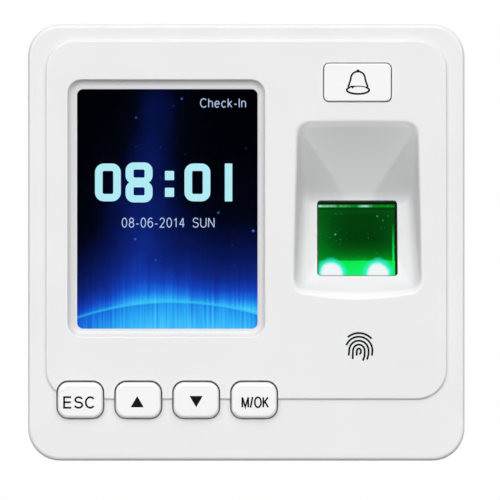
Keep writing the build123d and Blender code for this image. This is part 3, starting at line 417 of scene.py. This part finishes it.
def sensor_glass(name, low, high):
    """The sensor's window: dark green glass lit from below by two green lamps.

    rise and side go from 0 to 1 over the height and the width that show."""
    made = Shader(name)
    x, _, z = made.xyz()
    left, width = low.x / MM, (high.x - low.x) / MM
    rise = made.math("DIVIDE", made.subtract(z, SENSOR_FOOT), SENSOR_TOP - SENSOR_FOOT)
    side = made.math("DIVIDE", made.subtract(x, left), width)
    wisps = made.subtract(made.noise(2.6, detail=5.0), 0.5)
    glow = made.colours(made.add(rise, made.multiply(wisps, 0.03)), GLASS_COLOURS)

    # lighter towards the sides, most of all low down, and a few specks
    edge = made.multiply(made.math("ABSOLUTE", made.subtract(side, 0.56)), 2.0)
    edge = made.multiply(made.math("POWER", edge, 3.0), 0.5, clamp=True)
    glow = made.mix(made.multiply(edge, made.subtract(1.25, rise, clamp=True)), glow, linear(4, 132, 34))
    patches = made.ramp(made.noise(5.0, detail=1.0), ((0.40, 0.1), (0.56, 1.0)))
    for apart, sharpness, rarity, colour in SPECKS:
        speck = made.multiply(made.dots(apart, sharpness, rarity, 4.0), patches)
        glow = made.mix(speck, glow, linear(*colour))

    # the lamps: white, each with a cyan halo
    lamps = [made.distance(x, z, left + width * across, SENSOR_FOOT + LAMPS_RISE) for across in LAMPS_ACROSS]
    away = made.add(made.math("MINIMUM", *lamps), made.multiply(wisps, 0.9))
    reach = made.subtract(1.0, made.math("DIVIDE", away, LAMPS_REACH), clamp=True)
    glow = made.mix(made.ramp(reach, ((0.28, 0.0), (0.46, 0.75), (0.54, 1.0))), glow, linear(52, 242, 214))
    glow = made.mix(made.ramp(reach, ((0.48, 0.0), (0.62, 1.0))), glow, linear(240, 244, 247))

    # light caught by the glass's upper and right edges, and the black rim outside them
    glints = made.ramp(made.noise(3.4, detail=2.0, stretch=(1.0, 1.0, 0.1)), ((0.46, 0.0), (0.62, 1.0)))
    top_line = made.mix(glints, linear(6, 150, 30), linear(176, 255, 226))
    glow = made.mix(made.line_at(rise, 0.942, 0.022), glow, top_line)
    glow = made.mix(made.multiply(made.line_at(rise, 0.905, 0.02), 0.7), glow, linear(0, 26, 2))
    right_line = made.multiply(made.line_at(side, 0.962, 0.018), made.subtract(0.72, rise, clamp=True))
    glow = made.mix(made.multiply(right_line, 2.4, clamp=True), glow, linear(24, 240, 84))
    rim = made.math("MAXIMUM", made.math("GREATER_THAN", rise, 0.972), made.math("GREATER_THAN", side, 0.985))
    glow = made.mix(rim, glow, linear(0, 6, 0))

    made.set(Base_Color=(0.0, 0.006, 0.001, 1), Roughness=0.05)
    made.set(Specular_IOR_Level=0.004, Emission_Strength=1.0)
    made.use("Emission Color", glow)
    return made.material


def lamp_light(name):
    made = Shader(name)
    made.use("Base Color", made.colours(made.noise(0.6), ((0.3, (190, 250, 210)), (0.7, (225, 255, 235)))))
    made.set(Emission_Color=linear(60, 255, 150), Emission_Strength=1.5, Roughness=0.3)
    return made.material


# ---------------------------------------------------------------- materials by slot
# plastic: colour, roughness, the grain's size and depth, mottling; metal: colour, roughness, brushed, spangle
SLOT_MATERIALS = {
    # The white cover's last colour is painted shade for the walls of its finger recess and display frame.
    "cover_white": plastic(
        "white_cover_plastic", linear(218, 218, 218), 0.33, 0.35, 0.0014, 0.012, recess_shade=linear(205, 205, 206)
    ),
    "rear_white": plastic("rear_cover_plastic", linear(228, 228, 230), 0.55, 0.35, 0.012, 0.02),
    "key_white": plastic("key_plastic", linear(228, 228, 228), 0.3, 0.3, 0.002, 0.008),
    "plate_steel": metal("zinc_plated_steel", linear(196, 198, 202), 0.34, (0.2, 1.0, 1.0), 0.06),
    "screw_steel": metal("screw_steel", linear(188, 190, 194), 0.28),
    "lens_clear": clear_lens("clear_lens"),
    "lcd_face": display_picture("display_picture", *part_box("screen_lens")),
    "lcd_metal": metal("display_tray_steel", linear(200, 201, 204), 0.3, (1.0, 1.0, 0.2)),
    "black_rubber": rubber("black_rubber"),
    "black_plastic": plastic("black_plastic", linear(34, 34, 36), 0.5, 0.3, 0.01, 0.12),
    "grey_plastic": plastic("grey_plastic", linear(134, 136, 140), 0.5, 0.3, 0.01, 0.05),
    "board_green": circuit_board("circuit_board"),
    "ribbon_amber": ribbon_film("ribbon_film"),
    "connector_cream": plastic("cream_plastic", linear(230, 222, 196), 0.45, 0.2, 0.006, 0.04),
    "header_green": plastic("green_plastic", linear(58, 132, 72), 0.45, 0.25, 0.008, 0.06),
    "chip_black": plastic("chip_resin", linear(30, 30, 33), 0.62, 0.12, 0.012, 0.15),
    "tin": metal("tinned_metal", linear(214, 214, 216), 0.3),
    "gold": metal("gold_plating", linear(226, 186, 104), 0.25),
    "can_aluminium": metal("capacitor_can", linear(216, 217, 220), 0.26, (1.0, 0.3, 1.0)),
    "relay_blue": plastic("relay_plastic", linear(28, 76, 158), 0.35, 0.3, 0.006, 0.05),
    "speaker_cone": plastic("speaker_film", linear(52, 52, 56), 0.4, 0.5, 0.01, 0.1),
    "prism_green": sensor_glass("sensor_glass", *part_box("sensor_prism")),
    "lamp_green": lamp_light("green_lamp"),
    "camera_glass": camera_glass("camera_glass"),
}


def dress_nodes():
    slots = {entry["node"]: entry["material_slot"] for entry in frame["record"]["subparts"]}
    for name, node in frame["nodes"].items():
        node.data.materials.clear()
        node.data.materials.append(SLOT_MATERIALS[slots[name]])


dress_nodes()


# ---------------------------------------------------------------- printed and lit marks
def mark_object(name, mesh, material, body):
    made = bpy.data.objects.new(name, mesh)
    bpy.context.scene.collection.objects.link(made)
    made.data.materials.clear()
    made.data.materials.append(material)
    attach(made, body)


def outline_mesh(name, loops, y):
    """A thin print from closed outlines, where inner ones are holes. Its front is at y, in metres."""
    curve = bpy.data.curves.new(name, "CURVE")
    curve.dimensions = "2D"
    curve.fill_mode = "BOTH"
    curve.extrude = INK * MM / 2
    for points in loops:
        spline = curve.splines.new("POLY")
        spline.points.add(len(points) - 1)
        for point, (px, pz) in zip(spline.points, points):
            point.co = (px * MM, pz * MM, 0, 1)
        spline.use_cyclic_u = True
    return upright_mesh(name, curve, y + INK * MM / 2)


def upright_mesh(name, curve, y):
    """The curve's filled shape as a mesh, stood up so that it faces -Y at y."""
    probe = bpy.data.objects.new("probe", curve)
    bpy.context.scene.collection.objects.link(probe)
    bpy.context.view_layer.update()
    mesh = bpy.data.meshes.new_from_object(probe.evaluated_get(bpy.context.evaluated_depsgraph_get()))
    mesh.name = name
    bpy.data.objects.remove(probe)
    for vertex in mesh.vertices:
        vertex.co = (vertex.co.x, y - vertex.co.z, vertex.co.y)
    return mesh


def arc(cx, cz, rx, rz, start, end, steps=24):
    """Points on an ellipse's arc, angles in degrees anticlockwise from +X."""
    points = []
    for i in range(steps + 1):
        angle = math.radians(start + (end - start) * i / steps)
        points.append((cx + rx * math.cos(angle), cz + rz * math.sin(angle)))
    return points


def rounded_box(cx, cz, width, height, radius):
    points = []
    across, up = width / 2 - radius, height / 2 - radius
    for side, top, start in ((1, 1, 0), (-1, 1, 90), (-1, -1, 180), (1, -1, 270)):
        points += arc(cx + side * across, cz + top * up, radius, radius, start, start + 90, 6)
    return points


def sides_of(points, width, closed):
    """The two edges of a line of constant width drawn through points, with mitred corners."""
    left, right = [], []
    count = len(points)
    for i, (px, pz) in enumerate(points):
        legs = []
        for a, b in ((i - 1, i), (i, i + 1)):
            if closed or (a >= 0 and b < count):
                start, end = points[a % count], points[b % count]
                dx, dz = end[0] - start[0], end[1] - start[1]
                length = math.hypot(dx, dz)
                if length > 1e-9:
                    legs.append((-dz / length, dx / length))
        nx, nz = sum(leg[0] for leg in legs), sum(leg[1] for leg in legs)
        size = math.hypot(nx, nz)
        nx, nz = nx / size, nz / size
        reach = width / 2 / max(nx * legs[0][0] + nz * legs[0][1], 0.35)
        left.append((px + nx * reach, pz + nz * reach))
        right.append((px - nx * reach, pz - nz * reach))
    return left, right


def strokes_mesh(name, lines, width, y):
    """Lines of constant width as one thin print on the face at y, in metres. A line is (points, closed)."""
    vertices, faces = [], []
    for points, closed in lines:
        left, right = sides_of(points, width, closed)
        first = len(vertices)
        for (lx, lz), (rx, rz) in zip(left, right):
            for height, px, pz in ((INK, lx, lz), (INK, rx, rz), (0, rx, rz), (0, lx, lz)):
                vertices.append((px * MM, y - height * MM, pz * MM))
        count = len(points)
        for i in range(count if closed else count - 1):
            a, b = first + 4 * i, first + 4 * ((i + 1) % count)
            for side in range(4):
                faces.append((a + side, b + side, b + (side + 1) % 4, a + (side + 1) % 4))
        if not closed:
            last = first + 4 * (count - 1)
            faces.append((first, first + 1, first + 2, first + 3))
            faces.append((last + 3, last + 2, last + 1, last))
    mesh = bpy.data.meshes.new(name)
    mesh.from_pydata(vertices, [], faces)
    mesh.update()
    return mesh


def ring(cx, cz, rx, rz):
    """A closed line round an ellipse."""
    return (arc(cx, cz, rx, rz, 0, 360, 40)[:-1], True)


def open_line(*parts):
    """One open line through points and lists of points."""
    points = []
    for part in parts:
        points += part if isinstance(part, list) else [part]
    return (points, False)


ARCH = open_line((0, 0.44), arc(0.21, 0.5, 0.21, 0.22, 165, 0), (0.42, 0))

# Each character: its width, then its lines, in capital heights.
CHARACTERS = {
    "E": (0.56, [open_line((0.56, 0), (0, 0), (0, 1), (0.55, 1)), open_line((0, 0.52), (0.51, 0.52))]),
    "S": (0.58, [open_line(arc(0.3, 0.755, 0.26, 0.245, 15, 250), arc(0.29, 0.26, 0.29, 0.26, 70, -165))]),
    "C": (0.64, [open_line(arc(0.35, 0.5, 0.35, 0.5, 42, 318, 36))]),
    "M": (0.72, [
        open_line((0, 0), (0, 1)), open_line((0.72, 0), (0.72, 1)), open_line((0, 1), (0.36, 0.04), (0.72, 1))
    ]),
    "/": (0.26, [open_line((0, -0.03), (0.26, 1.03))]),
    "O": (0.76, [ring(0.38, 0.5, 0.38, 0.5)]),
    "K": (0.6, [
        open_line((0, 0), (0, 1)), open_line((0.58, 1), (0, 0.37)), open_line((0.2, 0.56), (0.6, 0))
    ]),
    "I": (0.02, [open_line((0.01, 0), (0.01, 1))]),
    "N": (0.6, [open_line((0, 0), (0, 1)), open_line((0, 1), (0.6, 0)), open_line((0.6, 0), (0.6, 1))]),
    "U": (0.6, [open_line((0, 1), arc(0.3, 0.31, 0.3, 0.31, 180, 360), (0.6, 1))]),
    "h": (0.42, [open_line((0, 0), (0, 1)), ARCH]),
    "e": (0.48, [open_line((0.02, 0.38), (0.48, 0.38), arc(0.24, 0.36, 0.24, 0.36, 8, 318))]),
    "c": (0.44, [open_line(arc(0.24, 0.36, 0.23, 0.36, 42, 318))]),
    "k": (0.42, [
        open_line((0, 0), (0, 1)), open_line((0.39, 0.72), (0, 0.27)), open_line((0.14, 0.42), (0.42, 0))
    ]),
    "n": (0.42, [open_line((0, 0), (0, 0.72)), ARCH]),
    "-": (0.26, [open_line((0, 0.35), (0.26, 0.35))]),
    "0": (0.5, [ring(0.25, 0.5, 0.25, 0.5)]),
    "1": (0.34, [open_line((0.04, 0.76), (0.24, 0.92), (0.24, 0)), open_line((0.24, 0.8), (0.24, 1))]),
    "2": (0.5, [open_line(arc(0.25, 0.73, 0.23, 0.27, 168, -35), (0.02, 0), (0.5, 0))]),
    "4": (0.52, [
        open_line((0.39, 0), (0.39, 1)), open_line((0.39, 1), (0.01, 0.31)), open_line((0, 0.3), (0.54, 0.3))
    ]),
    "6": (0.5, [ring(0.25, 0.31, 0.25, 0.31), open_line(arc(0.29, 0.52, 0.29, 0.48, 55, 180), (0.0, 0.31))]),
    "8": (0.5, [ring(0.25, 0.765, 0.21, 0.235), ring(0.25, 0.265, 0.25, 0.265)]),
}


def words_mesh(name, words, y, x, z, width, height, weight):
    """Words centred on x, standing on z, with the given width, height and line weight, on the face at y."""
    gap, space = 0.27, 0.34
    placed, cursor = [], 0.0
    for character in words:
        if character == " ":
            cursor += space
            continue
        span, lines = CHARACTERS[character]
        placed.append((cursor, lines))
        cursor += span + gap
    total = cursor - gap
    across, up = (width - weight) / total, height - weight
    start = x - (width - weight) / 2
    scaled = []
    for offset, lines in placed:
        for points, closed in lines:
            moved = [(start + (offset + px) * across, z + weight / 2 + pz * up) for px, pz in points]
            scaled.append((moved, closed))
    return strokes_mesh(name, scaled, weight, y)


black_ink = printed_ink("black_ink")
clock_ink = lit_ink("clock_characters", linear(182, 242, 252))
text_ink = lit_ink("small_characters", linear(186, 208, 240))


def place_of(node):
    """The middle of a node's box, x and z in mm, and the y of its front in metres."""
    low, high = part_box(node)
    return (low.x + high.x) / 2 / MM, (low.z + high.z) / 2 / MM, low.y


def clock(middle, y):
    """The clock's digits and colon. The eight's two halves overlap, so each is a piece, as is each dot."""

    def zero(x):
        outer = rounded_box(x, CLOCK_Z, width=5.6, height=CLOCK_HEIGHT, radius=1.9)
        return [outer, rounded_box(x, CLOCK_Z, width=2.3, height=CLOCK_HEIGHT - 3.2, radius=0.35)]

    def half_of_eight(x, up):
        z = CLOCK_Z + up * (CLOCK_HEIGHT / 4 - 0.02)
        outer = rounded_box(x, z, width=5.85, height=CLOCK_HEIGHT / 2 + 0.5, radius=1.75)
        return [outer, rounded_box(x, z - up * 0.105, width=2.4, height=1.75, radius=0.3)]

    def dot(x, z):
        return [rounded_box(x, z, width=1.98, height=1.98, radius=0.15)]

    one = rounded_box(middle + 13.25, CLOCK_Z, width=1.62, height=CLOCK_HEIGHT, radius=0.12)
    digits = {
        "clock_hours_tens": [zero(middle - 12.9)],
        "clock_hours_units": [half_of_eight(middle - 6.15, up) for up in (1, -1)],
        "clock_colon": [dot(middle + 0.45, CLOCK_Z + dz) for dz in (1.5, -2.15)],
        "clock_minutes_tens": [zero(middle + 6.5)],
        "clock_minutes_units": [[one]],
    }
    for name, parts in digits.items():
        for i, loops in enumerate(parts):
            mesh = outline_mesh(name, loops, y - i * INK / 4 * MM)
            piece = f"{name}_{i + 1}" if len(parts) > 1 else name
            mark_object(piece, mesh, clock_ink, "terminal")


def display_words(name, words, y, **sizes):
    mesh = words_mesh(name, words, y, weight=SMALL_LINE, **sizes)
    mark_object(name, mesh, text_ink, "terminal")


def key_words(key, words, x, z, **sizes):
    """Words printed on a key; x and z are measured from its middle."""
    key_x, key_z, y = place_of(f"{key}_key")
    mesh = words_mesh(f"{key}_legend", words, y, x=key_x + x, z=key_z + z, **sizes)
    mark_object(f"{key}_legend", mesh, black_ink, f"{key}_key_body")


def key_triangle(key, x, foot, tip):
    """A triangle printed on a key, from its level side at foot to its tip, measured from the key's middle."""
    key_x, key_z, y = place_of(f"{key}_key")
    x += key_x
    corners = [(x - TRIANGLE_HALF_WIDTH, key_z + foot), (x + TRIANGLE_HALF_WIDTH, key_z + foot)]
    points = [*corners, (x, key_z + tip)]
    mesh = outline_mesh(f"{key}_legend", [points], y - INK * MM)
    mark_object(f"{key}_legend", mesh, black_ink, f"{key}_key_body")


def bell_sign():
    """A bell drawn in lines: a dome, a rim, the mouth behind it, a knob and a clapper."""
    key_x, key_z, y = place_of("bell_key")
    x, z = key_x + BELL_X, key_z + BELL_Z
    # the dome's left side, from its foot to its top
    side = [(-2.17, 0.72), (-1.98, 1.1), (-1.8, 1.6), (-1.6, 2.3), (-1.47, 3.0), (-1.28, 3.42), (-0.95, 3.76)]
    side += [(-0.45, 4.0), (0.0, 4.06)]
    dome = side + [(-px, pz) for px, pz in side[::-1][1:]]
    lines = {
        "bell_dome": ([(x + px, z + pz) for px, pz in dome], 0.38),
        "bell_rim": (arc(x, z + 0.05, 2.42, 0.84, 134, 406, 44), 0.4),
        "bell_mouth": (arc(x, z + 0.45, 1.9, 0.42, 30, 150), 0.2),
    }
    for name, (points, weight) in lines.items():
        mesh = strokes_mesh(name, [open_line(points)], weight, y)
        mark_object(name, mesh, black_ink, "bell_key_body")
    knob = rounded_box(x, z + 4.27, width=0.62, height=0.42, radius=0.2)
    knob = outline_mesh("bell_knob", [knob], y - 1.2 * INK * MM)
    mark_object("bell_knob", knob, black_ink, "bell_key_body")
    clapper = [(x - 1.75, z + 0.98), (x - 0.6, z + 0.98), (x - 1.15, z + 0.32)]
    clapper = outline_mesh("bell_clapper", [clapper], y - 1.4 * INK * MM)
    mark_object("bell_clapper", clapper, black_ink, "bell_key_body")


def finger_sign():
    """A plain fingerprint sign printed below the recess: ridges drawn as arcs round one middle."""
    x, z = FINGER_SIGN
    ridges = (
        arc(0, -0.15, 0.38, 0.5, -80, 180, 20) + [(-0.4, -0.9)],
        [(-1.1, -1.5)] + arc(0, -0.1, 1.05, 1.15, 180, -10, 22) + [(1.0, -1.0), (0.7, -1.8)],
        [(-1.8, -0.9)] + arc(0, -0.05, 1.72, 1.8, 172, 0, 26) + [(1.7, -0.7), (1.45, -1.6)],
        arc(0, 0, 2.4, 2.45, 158, -8, 28) + [(2.3, -0.9)],
        arc(0, 0, 3.05, 3.1, 130, 42, 22),
    )
    lines = []
    for ridge in ridges:
        lines.append(([(x + px * FINGER_SIGN_SCALE, z + pz * FINGER_SIGN_SCALE) for px, pz in ridge], False))
    mesh = strokes_mesh("finger_sign", lines, FINGER_SIGN_LINE, FRONT_Y)
    mark_object("finger_sign", mesh, black_ink, "terminal")


display_x = place_of("screen_lens")[0]
display_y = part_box("lcd_panel")[0].y - INK * MM
clock(display_x, display_y)
display_words(
    "display_date", "08-06-2014  SUN", display_y, x=display_x + 0.15, z=3.2, width=20.1, height=2.17
)
display_words("display_mode", "Check-In", display_y, x=display_x + 12.05, z=29.2, width=9.95, height=2.05)
key_words("esc", "ESC", x=-0.26, z=-1.81, width=6.87, height=2.69, weight=0.4)
key_words("ok", "M/OK", x=0.25, z=-1.7, width=5.96, height=2.54, weight=0.37)
key_triangle("up", x=-0.21, foot=-1.51, tip=0.93)
key_triangle("down", x=0.0, foot=0.93, tip=-1.51)
bell_sign()
finger_sign()


# ---------------------------------------------------------------- floor, light and camera
def floor():
    bpy.ops.mesh.primitive_plane_add(size=FLOOR_SIZE * MM, location=(0, 0, FLOOR_Z * MM))
    made = bpy.context.object
    made.name = "floor"
    look = Shader("floor_paper")
    paper = look.colours(look.noise(180.0, detail=2.0), ((0.3, (232, 232, 234)), (0.7, (240, 240, 241))))
    look.use("Base Color", paper)
    look.set(Roughness=0.9)
    made.data.materials.append(look.material)
    made.visible_diffuse = False
    made.visible_shadow = False


def softbox(name, location):
    """A tall soft light that faces the object."""
    data = bpy.data.lights.new(name, "AREA")
    data.shape = "RECTANGLE"
    data.size, data.size_y = (length * MM for length in SOFTBOX_SIZE)
    data.energy = SOFTBOX_POWER
    made = bpy.data.objects.new(name, data)
    bpy.context.scene.collection.objects.link(made)
    made.location = Vector(location) * MM
    made.rotation_euler = (-Vector(location)).to_track_quat("-Z", "Y").to_euler()


def surroundings():
    """A white background for the camera, and two soft lobes of light for the object."""
    world = bpy.data.worlds.new("studio")
    bpy.context.scene.world = world
    world.use_nodes = True
    tree = world.node_tree
    tree.nodes.clear()
    direction = tree.nodes.new("ShaderNodeTexCoord")

    def background(strength):
        made = tree.nodes.new("ShaderNodeBackground")
        made.inputs["Color"].default_value = (1, 1, 1, 1)
        made.inputs["Strength"].default_value = strength
        return made

    def spread(axis, edge, middle, at_edge, at_middle):
        """A strength that follows the cosine of the angle from an axis, between an edge and a middle."""
        cosine = tree.nodes.new("ShaderNodeVectorMath")
        cosine.operation = "DOT_PRODUCT"
        cosine.inputs[1].default_value = Vector(axis).normalized()
        tree.links.new(direction.outputs["Generated"], cosine.inputs[0])
        made = tree.nodes.new("ShaderNodeMapRange")
        numbers = {"From Min": edge, "From Max": middle, "To Min": at_edge, "To Max": at_middle}
        for socket, number in numbers.items():
            made.inputs[socket].default_value = number
        tree.links.new(cosine.outputs["Value"], made.inputs["Value"])
        return made.outputs["Result"]

    def combine(operation, a, b):
        made = tree.nodes.new("ShaderNodeMath")
        made.operation = operation
        tree.links.new(a, made.inputs[0])
        tree.links.new(b, made.inputs[1])
        return made.outputs[0]

    front = spread(FRONT_LIGHT, FRONT_EDGE, 1.0, 0.0, FRONT_STRENGTH)
    front = combine("MULTIPLY", front, spread((0, -1, 0), CLEAR_FROM, CLEAR_FULL, 1.0, 0.0))
    rear = spread(REAR_LIGHT, REAR_EDGE, 1.0, 0.0, REAR_STRENGTH)
    seen, lighting = background(1.0), background(0.0)
    tree.links.new(combine("ADD", front, rear), lighting.inputs["Strength"])

    path = tree.nodes.new("ShaderNodeLightPath")
    choose = tree.nodes.new("ShaderNodeMixShader")
    out = tree.nodes.new("ShaderNodeOutputWorld")
    tree.links.new(path.outputs["Is Camera Ray"], choose.inputs[0])
    tree.links.new(lighting.outputs[0], choose.inputs[1])
    tree.links.new(seen.outputs[0], choose.inputs[2])
    tree.links.new(choose.outputs[0], out.inputs[0])


def camera():
    data = bpy.data.cameras.new("camera")
    data.sensor_width = FILM
    data.lens = FILM * (CAMERA_DISTANCE - FIELD_DEPTH) / FIELD
    data.clip_start = 0.05
    data.clip_end = 20.0
    made = bpy.data.objects.new("camera", data)
    bpy.context.scene.collection.objects.link(made)
    made.location = (CAMERA_X * MM, -CAMERA_DISTANCE * MM, CAMERA_Z * MM)
    made.rotation_euler = (math.radians(90), 0, 0)
    bpy.context.scene.camera = made


floor()
for side in (-1, 1):
    softbox(f"softbox_{side}", (side * SOFTBOX_PLACE[0], *SOFTBOX_PLACE[1:]))
surroundings()
camera()
bpy.context.scene.view_settings.view_transform = "Standard"
